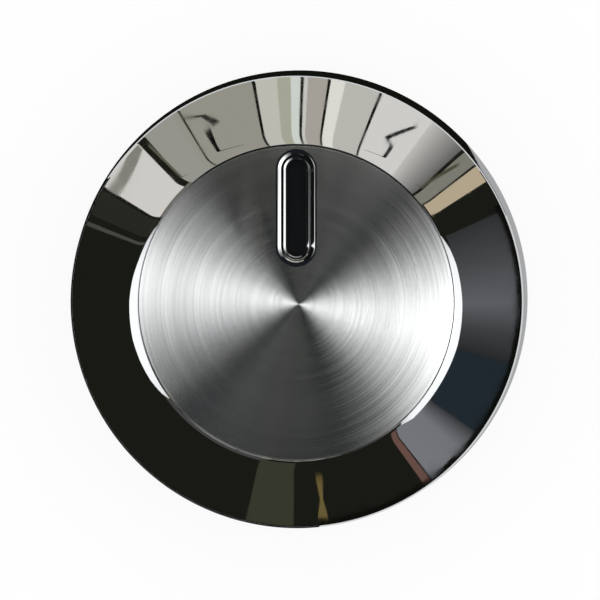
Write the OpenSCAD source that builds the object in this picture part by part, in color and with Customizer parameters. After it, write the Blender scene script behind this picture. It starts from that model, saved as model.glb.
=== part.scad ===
// Appliance control knob: a plated die-cast shell with a brushed face disc,
// a sunk pointer and a ribbed moulded core that grips a D-shaped shaft.
// Millimetres. The knob stands on its rear rim, face up, pointer towards +Y.

/* [Shell] */
// Diameter of the knob at its rear rim
knob_d = 50; // [46:0.5:54]
// Height from the rear rim to the top of the crown
knob_h = 20; // [18.5:0.5:25]
// How much smaller the radius is at the lip than at the rear rim
wall_taper = 0.65; // [0.2:0.05:1.2]
// Thickness of the side wall
wall_t = 1.8; // [1.4:0.1:2.4]
// Thickness of the cone and of the front wall behind the face disc
front_t = 1.8; // [1.5:0.1:2.2]
// Slope of the cone below the horizontal, in degrees
cone_slope = 30; // [24:1:36]
// Rounding of the lip between side wall and cone
lip_r = 0.6; // [0.3:0.1:1]
// Rounding of the rear rim's edges
rim_edge_r = 0.3; // [0.1:0.05:0.5]
// Rounding of the crown between cone and face disc
crown_r = 2.4; // [2:0.1:4]
// Fillet in the inside corner between side wall and cone
inner_fillet_r = 1.5; // [0.8:0.1:2.5]

/* [Face disc] */
// Diameter of the brushed face disc
disc_d = 33.7; // [31:0.1:36]
// Thickness of the face disc
disc_t = 0.5; // [0.4:0.05:0.8]
// Rounding of the face disc's top edge
disc_edge_r = 0.1; // [0.05:0.01:0.15]
// Width of the ring at the face disc's edge that rolls off a little
disc_roll_w = 4; // [2:0.5:5]
// Slope of the face disc's top at its edge, in degrees
disc_roll = 3; // [1:0.5:4]
// Depth of the face disc's top below the crown
disc_sink = 0.15; // [0.05:0.05:0.4]
// Gap between the face disc's edge and the wall of its seat
seat_gap = 0.05; // [0.05:0.05:0.3]
// Rounding of the crown's inner edge, above the seat
seat_edge_r = 0.1; // [0.1:0.05:0.4]
// Thickness of the bonding film under the face disc
tape_t = 0.15; // [0.1:0.05:0.3]
// How far the bonding film's edge stays inside the face disc's edge
tape_inset = 0.6; // [0.3:0.1:1.5]

/* [Pointer] */
// Width of the pointer channel at the face
pointer_w = 4.3; // [3.8:0.1:5]
// Length of the pointer channel at the face
pointer_l = 12.5; // [10:0.1:13]
// Brushed metal left between the pointer's far end and the disc's edge
pointer_edge = 0.45; // [0.3:0.05:2]
// Depth of the inlay's surface below the face
pointer_depth = 1; // [0.85:0.05:1.2]
// Width of the land round the channel's mouth
trim_land = 0.06; // [0.04:0.01:0.1]
// Slope at the lower end of the channel's two bevels, which are slightly rounded, in degrees
trim_slope = 15; // [11:1:19]
// Rounding of the upper bevel
trim_r1 = 1.8; // [1.4:0.1:2.2]
// Width of the steep step between the two bevels
trim_step = 0.2; // [0.1:0.05:0.25]
// Height of the steep step
trim_drop = 0.3; // [0.2:0.05:0.4]
// Rounding of the lower bevel
trim_r2 = 1.1; // [0.8:0.1:1.3]
// Thickness of the channel's floor
trim_floor = 0.6; // [0.4:0.05:0.8]
// Thickness of the black inlay
inlay_t = 0.5; // [0.3:0.05:0.7]
// Reach of the two side ledges that the face disc traps
ledge_w = 0.6; // [0.4:0.1:1]
// Length of the side ledges
ledge_l = 6; // [4:0.5:7]
// Thickness of the side ledges
ledge_t = 0.6; // [0.4:0.05:0.8]
// Gap round the pointer channel in the disc and in its pocket
pointer_gap = 0.05; // [0.03:0.01:0.1]
// Metal round and below the pointer's pocket
pad_wall = 1.2; // [1:0.1:1.6]

/* [Core] */
// Height of the screw posts inside the shell
post_h = 4.4; // [4:0.1:5]
// Diameter of the screw posts
post_d = 6; // [5.4:0.1:7]
// Draft of the screw posts: growth of the radius from tip to root
post_draft = 0.15; // [0.1:0.05:0.3]
// Diameter of the circle that the screws lie on
screw_circle_d = 29; // [27:0.5:30]
// Thickness of the core's flange
flange_t = 2; // [1.6:0.1:2.4]
// Radial gap between the core and the shell's side wall
core_gap = 0.3; // [0.2:0.05:0.5]
// Depth of the core's outer ring inside the rear rim
core_recess = 0.8; // [0.4:0.1:2]
// Thickness of the core's outer ring
ring_wall = 1.4; // [1:0.1:2]
// Fillets of the core's flange, where it meets the outer ring and the boss
core_fillet = 0.6; // [0.3:0.1:1]
// Rounding of the outer ring's rear edges
core_edge_r = 0.3; // [0.1:0.05:0.45]
// Number of radial ribs
rib_count = 6; // [6:6:6]
// Thickness of the radial ribs
rib_t = 1.2; // [0.8:0.1:1.6]
// Height of the ribs' lower edge above the rear rim, at the outer ring
rib_rise = 3; // [2:0.5:5]
// Thickness of the small gussets in front of the flange
gusset_t = 1; // [0.8:0.1:1.4]
// Reach of the gussets from the boss
gusset_reach = 3.2; // [2:0.2:4]

/* [Shaft socket] */
// Diameter of the appliance's shaft
shaft_d = 8; // [7.5:0.1:8.5]
// Size of the shaft across its flat
shaft_flat = 6.5; // [6.2:0.1:7]
// Clearance between the shaft and the D-shaped socket, on the radius
shaft_gap = 0.05; // [0.03:0.01:0.1]
// Extra radius of the round lead-in at the boss's mouth
lead_extra = 0.25; // [0.2:0.05:0.4]
// Length of the round lead-in
lead_l = 2.5; // [2:0.1:3]
// Chamfer at the mouth of the boss
mouth_chamfer = 0.5; // [0.3:0.1:0.8]
// Wall of the boss round the socket
boss_wall = 2.5; // [2.2:0.1:3]
// Depth of the boss's mouth inside the rear rim
mouth_recess = 1; // [0.6:0.1:2]
// Gap between the boss's closed end and the pointer's pad
boss_end_gap = 0.4; // [0.2:0.1:1]
// Thickness of the socket's closed end
socket_end = 1.4; // [1:0.1:2]
// Width of the two slots that split the boss
slot_w = 1; // [0.8:0.1:1.4]
// Depth of the slots from the boss's mouth
slot_l = 5; // [4.6:0.1:6]

/* [Springs] */
// Width of the leaf spring
leaf_w = 4.8; // [4:0.1:5]
// Thickness of the leaf spring
leaf_t = 0.35; // [0.25:0.05:0.45]
// Length of the leaf spring
leaf_l = 7.5; // [6:0.1:8]
// How far the leaf's crown stands past the shaft's flat
leaf_bite = 0.1; // [0.05:0.05:0.15]
// Depth of the leaf's pocket behind the socket's flat
leaf_pocket = 0.8; // [0.7:0.05:1]
// Gap between the leaf and its pocket
leaf_gap = 0.05; // [0.03:0.01:0.1]
// Thickness of the ring spring's band
ring_t = 0.75; // [0.5:0.05:0.9]
// Width of the ring spring's band
ring_w = 1.8; // [1.4:0.1:2]
// Depth of the ring spring's groove in the boss
groove_depth = 0.7; // [0.5:0.05:0.8]
// Distance of the groove from the boss's mouth
groove_from_mouth = 1.6; // [1.3:0.1:2]
// Gap between the ring spring and its groove
ring_gap = 0.05; // [0.03:0.01:0.1]
// Opening of the ring spring, in degrees
ring_open = 24; // [15:1:40]

/* [Screws] */
// Thread diameter of the core's screws
screw_d = 3; // [2.5:0.1:3.2]
// Length of the screws under the head
screw_l = 6.4; // [5.6:0.1:6.6]
// Diameter of the screw heads
head_d = 5.5; // [5:0.1:6]
// Height of the screw heads
head_h = 2; // [1.7:0.1:2.3]
// Gap round the screws in the flange
flange_hole_gap = 0.2; // [0.1:0.05:0.3]
// Gap round the screws in the posts
pilot_gap = 0.05; // [0.03:0.01:0.1]
// Free depth in front of the screws' tips
tip_gap = 0.3; // [0.2:0.1:0.4]
// Chamfer at the mouth of the screw holes in the posts
pilot_chamfer = 0.3; // [0.1:0.1:0.5]

/* [Hidden] */
$fn = 120;
eps = 0.01;

// Heights and radii of the face, from the crown down
knob_r = knob_d / 2;
lip_out_r = knob_r - wall_taper;
disc_r = disc_d / 2;
seat_r = disc_r + seat_gap;
face_z = knob_h - disc_sink;
tape_z = face_z - disc_t - tape_t;
seat_z = tape_z;
web_z = seat_z - front_t;

// Pointer: its far end stays pointer_edge inside the disc's edge
pointer_y = disc_r - pointer_edge - pointer_l / 2;
channel_w = pointer_w - 2 * (trim_land + trim_step + (trim_r1 + trim_r2) * sin(trim_slope));
trim_h = pointer_depth + inlay_t + trim_floor;
trim_z = face_z - trim_h;
pocket_z = trim_z - pointer_gap;
pad_z = pocket_z - pad_wall;
ledge_top = tape_z - pointer_gap;

// Core: it hangs from the shell's posts
flange_front = web_z - post_h;
flange_back = flange_front - flange_t;
socket_r = shaft_d / 2 + shaft_gap;
socket_flat_y = shaft_flat - shaft_d / 2 + shaft_gap;
lead_r = shaft_d / 2 + lead_extra + shaft_gap;
boss_r = shaft_d / 2 + boss_wall;
boss_front = pad_z - boss_end_gap;
socket_top = boss_front - socket_end;
lead_z = mouth_recess + mouth_chamfer;
socket_z = lead_z + lead_l;
slot_z = mouth_recess + slot_l;
rib_root = slot_z + 0.5;
groove_z = mouth_recess + groove_from_mouth;
groove_r = boss_r - groove_depth;
leaf_z = socket_z + 0.4;
post_angles = [30, 150, 270];

// Points of an arc from angle a0 to a1 in n steps
function arc(c, r, a0, a1, n) =
    [for (i = [0:n]) let (a = a0 + (a1 - a0) * i / n) c + r * [cos(a), sin(a)]];

// Where the lines n1 . p = d1 and n2 . p = d2 cross
function cross_point(n1, d1, n2, d2) =
    let (k = n1[0] * n2[1] - n1[1] * n2[0])
    [(d1 * n2[1] - d2 * n1[1]) / k, (n1[0] * d2 - n2[0] * d1) / k];

// Outline of the shell's section: centres of its arcs, then its two straight flanks
cone_n = [sin(cone_slope), cos(cone_slope)];
crown_c = [seat_r + seat_edge_r, knob_h - crown_r];
cone_d = cone_n * crown_c + crown_r;
lip_c = let (r = lip_out_r - lip_r) [r, (cone_d - lip_r - cone_n[0] * r) / cone_n[1]];
rim_c = [knob_r - rim_edge_r, rim_edge_r];
flank = lip_c - rim_c;
draft = atan2(flank[1], flank[0]) - acos((rim_edge_r - lip_r) / norm(flank));
wall_n = [cos(draft), sin(draft)];
wall_d = wall_n * rim_c + rim_edge_r;

// Radius of the shell's inner wall at height z
function inner_r(z) = (wall_d - wall_t - wall_n[1] * z) / wall_n[0];
// The fillet inside, between the inner wall and the inner cone
fillet_c = cross_point(wall_n, wall_d - wall_t - inner_fillet_r,
                       cone_n, cone_d - front_t - inner_fillet_r);
web_corner = cross_point(cone_n, cone_d - front_t, [0, 1], web_z);

// Sweeps a section round a pill-shaped path: straight sides and half-round ends
module round_pill(l, w) {
    for (side = [0, 180])
        rotate(side) {
            translate([0, (l - w) / 2, 0]) rotate_extrude(angle = 180) children();
            rotate([90, 0, 0]) linear_extrude(l - w, center = true) children();
        }
}

// A flat-ended pill-shaped block standing on z = 0
module pill(l, w, h) {
    round_pill(l, w) square([w / 2, h]);
}

module at_pointer(z) {
    translate([0, pointer_y, z]) children();
}

module at_posts(z) {
    for (a = post_angles) rotate(a) translate([screw_circle_d / 2, 0, z]) children();
}

// Room for the pointer trim in the shell's seat: the channel and its two side ledges
module pointer_pocket() {
    at_pointer(pocket_z)
        pill(pointer_l + 2 * pointer_gap, pointer_w + 2 * pointer_gap, seat_z - pocket_z + eps);
    at_pointer(ledge_top - ledge_t - pointer_gap)
        translate([-pointer_w / 2 - ledge_w - pointer_gap, -ledge_l / 2 - pointer_gap, 0])
        cube([pointer_w + 2 * (ledge_w + pointer_gap), ledge_l + 2 * pointer_gap,
              ledge_t + 3 * pointer_gap]);
}

// Die-cast shell, plated: side wall, lip, cone, crown, disc seat, pointer pad, posts
module bezel_shell() {
    color("gainsboro")
    difference() {
        union() {
            rotate_extrude()
            polygon(concat(
                [[0, web_z], [0, seat_z], [seat_r, seat_z]],
                arc([seat_r + seat_edge_r, knob_h - seat_edge_r], seat_edge_r, 180, 90, 4),
                arc(crown_c, crown_r, 90 - cone_slope / 8, 90 - cone_slope, 7),
                arc(lip_c, lip_r, 90 - cone_slope, draft, 8),
                arc(rim_c, rim_edge_r, draft, -90, 4),
                arc([inner_r(0) + rim_edge_r, rim_edge_r], rim_edge_r, 270, 180 + draft, 4),
                arc(fillet_c, inner_fillet_r, draft, 90 - cone_slope, 6),
                [web_corner]));
            intersection() {
                at_pointer(pad_z)
                    pill(pointer_l + 2 * (pointer_gap + pad_wall),
                         pointer_w + 2 * (pointer_gap + pad_wall), front_t + web_z - pad_z);
                cylinder(r = web_corner[0] + (web_z - pad_z) / tan(cone_slope), h = seat_z);
            }
            at_posts(flange_front)
                cylinder(d1 = post_d, d2 = post_d + 2 * post_draft, h = post_h + front_t / 2);
        }
        pointer_pocket();
        at_posts(flange_front - eps) {
            cylinder(d = screw_d + 2 * pilot_gap, h = screw_l - flange_t + tip_gap + eps);
            cylinder(r1 = screw_d / 2 + pilot_gap + pilot_chamfer + eps,
                     r2 = screw_d / 2 + pilot_gap, h = pilot_chamfer + eps);
        }
    }
}

// Stamped aluminium disc, spun-brushed, its edge rolled off, with the pointer's opening
module face_disc() {
    roll_r = disc_roll_w / sin(disc_roll);
    roll_x = disc_r - disc_edge_r - disc_roll_w;
    edge_z = disc_t - roll_r * (1 - cos(disc_roll)) - disc_edge_r;
    color("silver")
    difference() {
        translate([0, 0, face_z - disc_t])
        rotate_extrude()
        polygon(concat([[0, 0], [disc_r, 0]],
                       arc([disc_r - disc_edge_r, edge_z], disc_edge_r, 0, 90, 3),
                       arc([roll_x, disc_t - roll_r], roll_r, 90 - disc_roll * 5 / 6, 90, 5),
                       [[0, disc_t]]));
        at_pointer(face_z - disc_t - eps)
            pill(pointer_l + 2 * pointer_gap, pointer_w + 2 * pointer_gap, disc_t + 2 * eps);
    }
}

// Die-cut bonding film between the disc and its seat, open round the pointer
module disc_tape() {
    opening_w = pointer_w + 2 * (ledge_w + 2 * pointer_gap);
    color("tan")
    difference() {
        translate([0, 0, tape_z]) cylinder(r = disc_r - tape_inset, h = tape_t);
        translate([-opening_w / 2, pointer_y - pointer_l / 2 - 2 * pointer_gap, tape_z - eps])
            cube([opening_w, knob_r, tape_t + 2 * eps]);
    }
}

// Half of the channel's section, from its centre line out
function trim_section() =
    let (x1 = pointer_w / 2 - trim_land,
         x2 = x1 - trim_r1 * sin(trim_slope) - trim_step,
         z2 = trim_h - trim_r1 * (1 - cos(trim_slope)) - trim_drop)
    concat([[0, 0], [pointer_w / 2, 0], [pointer_w / 2, trim_h]],
           arc([x1, trim_h - trim_r1], trim_r1, 90, 90 + trim_slope, 5),
           arc([x2, z2 - trim_r2], trim_r2, 90, 90 + trim_slope, 4),
           [[channel_w / 2, trim_floor], [0, trim_floor]]);

// Plated pointer channel with two bevels and a step, held down by its side ledges
module pointer_trim() {
    color("white") {
        at_pointer(trim_z) {
            round_pill(pointer_l, pointer_w) polygon(trim_section());
            for (side = [0, 180])
                rotate(side)
                translate([pointer_w / 2 - trim_land, -ledge_l / 2, ledge_top - ledge_t - trim_z])
                cube([ledge_w + trim_land, ledge_l, ledge_t]);
        }
    }
}

// Black glossy strip on the channel's floor
module pointer_inlay() {
    color("#111418")
    at_pointer(trim_z + trim_floor)
        pill(pointer_l - pointer_w + channel_w - 2 * pointer_gap,
             channel_w - 2 * pointer_gap, inlay_t);
}

// The core's outer ring, flange and boss as one turned section, filleted at the flange
module core_body() {
    z0 = core_recess;
    ring_out = inner_r(z0) - core_gap;
    rotate_extrude()
    polygon(concat(
        arc([ring_out - ring_wall + core_edge_r, z0 + core_edge_r], core_edge_r, 180, 270, 4),
        arc([ring_out - core_edge_r, z0 + core_edge_r], core_edge_r, 270, 360, 4),
        [[inner_r(flange_front) - core_gap, flange_front]],
        arc([boss_r + core_fillet, flange_front + core_fillet], core_fillet, 270, 180, 4),
        [[boss_r, boss_front],
         [0, boss_front],
         [0, mouth_recess],
         [boss_r - mouth_chamfer, mouth_recess],
         [boss_r, mouth_recess + mouth_chamfer]],
        arc([boss_r + core_fillet, flange_back - core_fillet], core_fillet, 180, 90, 4),
        arc([inner_r(flange_back) - core_gap - ring_wall - core_fillet,
             flange_back - core_fillet], core_fillet, 90, 0, 4)));
}

// Radial ribs behind the flange: low at the boss, so that its split fingers can flex
module core_ribs() {
    outer = inner_r(flange_back) - core_gap - ring_wall / 2;
    for (i = [0:rib_count - 1])
        rotate(i * 360 / rib_count)
        rotate([90, 0, 0])
        linear_extrude(rib_t, center = true)
        polygon([[boss_r - boss_wall / 2, rib_root],
                 [boss_r + 1, rib_root],
                 [outer, rib_rise],
                 [outer, flange_back + flange_t / 2],
                 [boss_r - boss_wall / 2, flange_back + flange_t / 2]]);
}

// Small gussets in front of the flange
module core_gussets() {
    for (i = [0:rib_count - 1])
        rotate((i + 0.5) * 360 / rib_count)
        rotate([90, 0, 0])
        linear_extrude(gusset_t, center = true)
        polygon([[boss_r - boss_wall / 2, flange_front - flange_t / 2],
                 [boss_r + gusset_reach, flange_front - flange_t / 2],
                 [boss_r + gusset_reach, flange_front],
                 [boss_r, boss_front - 0.4],
                 [boss_r - boss_wall / 2, boss_front - 0.4]]);
}

// Everything cut from the boss: lead-in, D-shaped socket, leaf pocket, slots, groove
module socket_cuts() {
    translate([0, 0, mouth_recess - eps])
        cylinder(r1 = lead_r + mouth_chamfer + eps, r2 = lead_r, h = mouth_chamfer + eps);
    translate([0, 0, lead_z - eps]) cylinder(r = lead_r, h = lead_l + eps);
    difference() {
        translate([0, 0, socket_z - eps]) cylinder(r = socket_r, h = socket_top - socket_z + eps);
        translate([-boss_r, socket_flat_y, socket_z]) cube([2 * boss_r, boss_r, socket_top]);
    }
    translate([-leaf_w / 2 - leaf_gap, 0, leaf_z])
        cube([leaf_w + 2 * leaf_gap, socket_flat_y + leaf_pocket, leaf_l + 2 * leaf_gap]);
    translate([-boss_r - 1, -slot_w / 2, mouth_recess - 1]) cube([2 * boss_r + 2, slot_w, slot_l + 1]);
    translate([0, 0, groove_z])
    difference() {
        cylinder(r = boss_r + 1, h = ring_w + 2 * ring_gap);
        translate([0, 0, -eps]) cylinder(r = groove_r, h = ring_w + 2 * ring_gap + 2 * eps);
    }
}

// Moulded core of glass-filled nylon: flange, ring, ribs and split socket boss
module hub_core() {
    color("dimgray")
    difference() {
        union() {
            core_body();
            core_ribs();
            core_gussets();
        }
        socket_cuts();
        at_posts(flange_back - eps)
            cylinder(d = screw_d + 2 * flange_hole_gap, h = flange_t + 2 * eps);
    }
}

// Bowed steel leaf that presses on the shaft's flat
module shaft_spring() {
    back_y = socket_flat_y + leaf_pocket - leaf_gap;
    crown_y = socket_flat_y - shaft_gap - leaf_bite;
    bow = back_y - leaf_t - crown_y;
    half = leaf_l / 2;
    r_in = (half * half + bow * bow) / (2 * bow);
    sweep = asin(half / r_in);
    color("lightsteelblue")
    translate([0, crown_y, leaf_z + leaf_gap + half])
    rotate([90, 0, 90])
    linear_extrude(leaf_w, center = true)
    polygon(concat(arc([r_in, 0], r_in, 180 - sweep, 180 + sweep, 12),
                   arc([r_in, 0], r_in - leaf_t, 180 + sweep, 180 - sweep, 12)));
}

// Split steel ring that closes the boss's fingers on the shaft
module boss_ring() {
    color("lightsteelblue")
    translate([0, 0, groove_z + ring_gap])
    rotate(-90 + ring_open / 2)
    rotate_extrude(angle = 360 - ring_open)
    translate([groove_r + ring_gap, 0]) square([ring_t, ring_w]);
}

// Pan-head screws from the rear, through the flange and into the shell's posts
module hub_screws() {
    tip = screw_d / 4;
    color("slategray")
    at_posts(flange_back)
    difference() {
        rotate_extrude()
        polygon(concat([[0, screw_l], [screw_d / 2 - tip, screw_l],
                        [screw_d / 2, screw_l - tip], [screw_d / 2, 0], [head_d / 2, 0]],
                       arc([head_d / 2 - head_h / 2, -head_h / 2], head_h / 2, 0, -90, 5),
                       [[0, -head_h]]));
        for (a = [0, 90])
            rotate(a)
            translate([-head_d / 4, -head_d / 16, -head_h - eps]) cube([head_d / 2, head_d / 8, head_h * 0.6]);
    }
}

bezel_shell();
face_disc();
disc_tape();
pointer_trim();
pointer_inlay();
hub_core();
shaft_spring();
boss_ring();
hub_screws();
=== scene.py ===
from math import acos, asin, atan2, cos, exp, hypot, pi, radians, sin, tan

import bmesh
import bpy
from mathutils import Matrix, Vector


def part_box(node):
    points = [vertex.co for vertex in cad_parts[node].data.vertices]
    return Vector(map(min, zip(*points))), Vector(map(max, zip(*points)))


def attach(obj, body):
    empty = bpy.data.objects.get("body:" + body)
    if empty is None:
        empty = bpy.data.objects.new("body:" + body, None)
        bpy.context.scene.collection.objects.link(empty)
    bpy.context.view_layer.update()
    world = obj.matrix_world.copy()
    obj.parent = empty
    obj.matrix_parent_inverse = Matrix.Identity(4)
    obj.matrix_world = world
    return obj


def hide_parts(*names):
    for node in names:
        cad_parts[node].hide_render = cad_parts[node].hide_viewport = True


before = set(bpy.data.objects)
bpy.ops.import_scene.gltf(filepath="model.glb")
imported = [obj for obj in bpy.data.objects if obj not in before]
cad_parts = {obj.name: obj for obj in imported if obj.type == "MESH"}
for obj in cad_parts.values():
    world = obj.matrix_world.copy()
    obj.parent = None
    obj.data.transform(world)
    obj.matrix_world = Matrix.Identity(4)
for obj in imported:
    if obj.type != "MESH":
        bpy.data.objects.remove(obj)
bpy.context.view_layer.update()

MM = 0.001

# Camera and studio
# The knob lies face up on a pale floor. The camera looks down its axis from far off, about two
# degrees towards the upper right, so a little of the side wall shows there.

IMAGE_PX = 600
CAMERA_DISTANCE = 780 * MM
CAMERA_TILT = radians(1.75)
CAMERA_TURN = radians(54)
PX_PER_MM = 9.12
# The picture's middle on the floor, from the knob's axis
AIM = Vector((0.05 * MM, -0.18 * MM, 0))

toward_camera = Vector((sin(CAMERA_TILT) * cos(CAMERA_TURN),
                        sin(CAMERA_TILT) * sin(CAMERA_TURN), cos(CAMERA_TILT)))
camera_data = bpy.data.cameras.new("camera")
camera_data.sensor_width = 36
camera_data.lens = camera_data.sensor_width * PX_PER_MM * (CAMERA_DISTANCE / MM) / IMAGE_PX
camera = bpy.data.objects.new("camera", camera_data)
camera_right = Vector((0, 1, 0)).cross(toward_camera).normalized()
camera_up = toward_camera.cross(camera_right)
camera.matrix_world = Matrix.Translation(AIM + toward_camera * CAMERA_DISTANCE) @ Matrix(
    (camera_right, camera_up, toward_camera)).transposed().to_4x4()
bpy.context.collection.objects.link(camera)
bpy.context.scene.camera = camera
bpy.context.scene.view_settings.view_transform = "Standard"


def linear(hex_code):
    """Turns an sRGB hex colour into the linear RGBA that shaders take."""
    parts = [int(hex_code[i:i + 2], 16) / 255 for i in (1, 3, 5)]
    return tuple(c / 12.92 if c <= 0.04045 else ((c + 0.055) / 1.055) ** 2.4 for c in parts) + (1,)


def add_node(tree, kind, inputs=None, **settings):
    """Adds a node with its settings; inputs maps a socket to a value or to the socket that feeds it."""
    made = tree.nodes.new(kind)
    for name, value in settings.items():
        setattr(made, name, value)
    for key, value in (inputs or {}).items():
        if isinstance(value, bpy.types.NodeSocket):
            tree.links.new(value, made.inputs[key])
        else:
            made.inputs[key].default_value = value
    return made


def empty_material(name):
    """A material with only an empty node tree, and that tree."""
    material = bpy.data.materials.new(name)
    material.use_nodes = True
    material.node_tree.nodes.clear()
    return material, material.node_tree


def new_object(name, vertices, faces, material=None):
    """A mesh object at the origin, from its points in metres."""
    mesh = bpy.data.meshes.new(name)
    mesh.from_pydata(vertices, [], faces)
    if material:
        mesh.materials.append(material)
    made = bpy.data.objects.new(name, mesh)
    bpy.context.collection.objects.link(made)
    return made


def seen_share(tree):
    """1 for rays that show a surface to the camera, straight or in metal or glass, and 0 for the rest."""
    path = add_node(tree, "ShaderNodeLightPath")
    seen = add_node(tree, "ShaderNodeMath", {0: path.outputs["Is Camera Ray"],
                                             1: path.outputs["Is Glossy Ray"]},
                    operation="MAXIMUM")
    return add_node(tree, "ShaderNodeMath", {0: seen.outputs[0],
                                             1: path.outputs["Is Transmission Ray"]},
                    operation="MAXIMUM").outputs[0]


# Pale painted floor: mostly its own white, so that it stays pale, with a share left for the shadow
FLOOR_SIZE = 1200 * MM
FLOOR_GLOW = 0.88
floor_paint, tree = empty_material("floor_paint")
paint = add_node(tree, "ShaderNodeBsdfDiffuse", {"Color": linear("#F8F8F8")})
glow = add_node(tree, "ShaderNodeEmission", {"Color": linear("#FFFFFF"), "Strength": 1.0})
glow_share = add_node(tree, "ShaderNodeMath", {0: seen_share(tree), 1: FLOOR_GLOW},
                      operation="MULTIPLY")
mixed = add_node(tree, "ShaderNodeMixShader", {0: glow_share.outputs[0], 1: paint.outputs[0],
                                               2: glow.outputs[0]})
add_node(tree, "ShaderNodeOutputMaterial", {"Surface": mixed.outputs[0]})
half = FLOOR_SIZE / 2
floor = new_object("floor", [(-half, -half, 0), (half, -half, 0), (half, half, 0), (-half, half, 0)],
                   [(0, 1, 2, 3)], floor_paint)

# White surroundings
world = bpy.data.worlds.new("studio")
bpy.context.scene.world = world
world.use_nodes = True
tree = world.node_tree
tree.nodes.clear()
sky = add_node(tree, "ShaderNodeBackground", {"Color": linear("#FFFFFF"), "Strength": 1.0})
add_node(tree, "ShaderNodeOutputWorld", {"Surface": sky.outputs[0]})


def filled_in(stations, step):
    """Rows of values with even steps between them in the first value."""
    rows = []
    for first, last in zip(stations, stations[1:]):
        count = max(1, round(abs(last[0] - first[0]) / step))
        rows += [[a + (b - a) * i / count for a, b in zip(first, last)] for i in range(count)]
    return rows + [list(stations[-1])]


def studio_card(name, radius, colour, stations, lamp=False):
    """A card bent round the knob, which its metal mirrors; a lamp also lights the knob.
    stations are rows of azimuth, lower edge and upper edge in degrees, and brightness."""
    columns = filled_in(stations, 2)
    rows = 12
    points, levels = [], []
    for azimuth, low, high, level in columns:
        for j in range(rows + 1):
            az, el = radians(azimuth), radians(low + (high - low) * j / rows)
            points.append((radius * cos(el) * cos(az), radius * cos(el) * sin(az), radius * sin(el)))
            levels.append(level)
    faces = [(i * (rows + 1) + j, i * (rows + 1) + j + 1, (i + 1) * (rows + 1) + j + 1,
              (i + 1) * (rows + 1) + j) for i in range(len(columns) - 1) for j in range(rows)]
    material, tree = empty_material(name)
    card = new_object(name, points, faces, material)
    card.data.attributes.new("brightness", "FLOAT", "POINT").data.foreach_set("value", levels)
    bright = add_node(tree, "ShaderNodeAttribute", attribute_name="brightness")
    light = add_node(tree, "ShaderNodeEmission", {"Color": linear(colour),
                                                  "Strength": bright.outputs["Fac"]})
    add_node(tree, "ShaderNodeOutputMaterial", {"Surface": light.outputs[0]})
    card.visible_camera = card.visible_shadow = False
    card.visible_diffuse = lamp


def flat_card(name, radius, colour, azimuth, elevation, level=1.0):
    """A card of one brightness between two azimuths and two elevations."""
    studio_card(name, radius, colour, [(a, *elevation, level) for a in azimuth])


def mirrored_strip(name, points, colour="#12130F"):
    """A strip that only polished metal sees, from pairs of points along it; black unless coloured."""
    material, tree = empty_material(name)
    light = add_node(tree, "ShaderNodeEmission", {"Color": linear(colour), "Strength": 1.0})
    add_node(tree, "ShaderNodeOutputMaterial", {"Surface": light.outputs[0]})
    faces = [(i, i + 1, i + 3, i + 2) for i in range(0, len(points) - 2, 2)]
    strip = new_object(name, points, faces, material)
    strip.visible_camera = strip.visible_diffuse = strip.visible_shadow = False


def dark_floor_and_shadow_sheet(name, stations, colour="#12130F"):
    """A dark sheet on the floor that only polished metal sees, used as painted contact shadow round the
    rim and as darker floor further out; stations are azimuth in degrees, near edge and far edge in mm.
    """
    sheet_z = 0.05 * MM
    rows = [(radians(az), near * MM, far * MM) for az, near, far in filled_in(stations, 4)]
    mirrored_strip(name, [(r * cos(a), r * sin(a), sheet_z) for a, *reach in rows for r in reach], colour)


def soft_lamp(name, middle, spread, peak):
    """A lamp over the face: full brightness at its middle azimuth, fading as a bell to both sides."""
    reach = 2.6
    steps = 26
    away = [reach * (2 * i / steps - 1) for i in range(steps + 1)]
    studio_card(name, LAMP, "#FFFFFF", [
        (middle + spread * s, LAMP_SPLIT, LAMP_TOP, peak * exp(-s * s / 2)) for s in away], lamp=True)


# Dark tent: the chrome and the brushed face mirror it, so its openings and lamps draw their lights.
# The lower lamps draw the crown's two crescents, and the upper ones the fans on the brushed disc.
TENT = 950 * MM
WALL = 850 * MM
STRIP = 750 * MM
LAMP = 300 * MM
LAMP_SPLIT = 66
LAMP_TOP = 84
flat_card("tent", TENT, "#22231C", (0, 360), (-1, LAMP_SPLIT))
flat_card("tent_top", TENT, "#202428", (0, 360), (LAMP_SPLIT, 90))
studio_card("lamp_low_right", LAMP, "#FFFFFF", [
    (az, low, LAMP_SPLIT, level) for az, low, level in (
        (-52, 56, 1.0), (-47, 47, 1.5), (-32, 44.5, 1.6), (-17, 40.5, 1.6), (-2, 43, 1.6), (12, 48, 1.5),
        (18, 53, 1.3), (23, 62, 1.0))], lamp=True)
studio_card("lamp_low_left", LAMP, "#FFFFFF", [
    (az, low, LAMP_SPLIT, level) for az, low, level in (
        (155, 60, 0.7), (160, 55, 1.2), (167, 50, 1.5), (174, 43, 1.6), (181, 38.5, 1.6), (194, 36, 1.6),
        (202, 39, 1.6), (209, 43.5, 1.5), (215, 52, 1.3), (218, 60, 1.0))], lamp=True)
soft_lamp("lamp_high_right", -16, 22, 2.95)
soft_lamp("lamp_high_left", 178, 13, 1.5)

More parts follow.
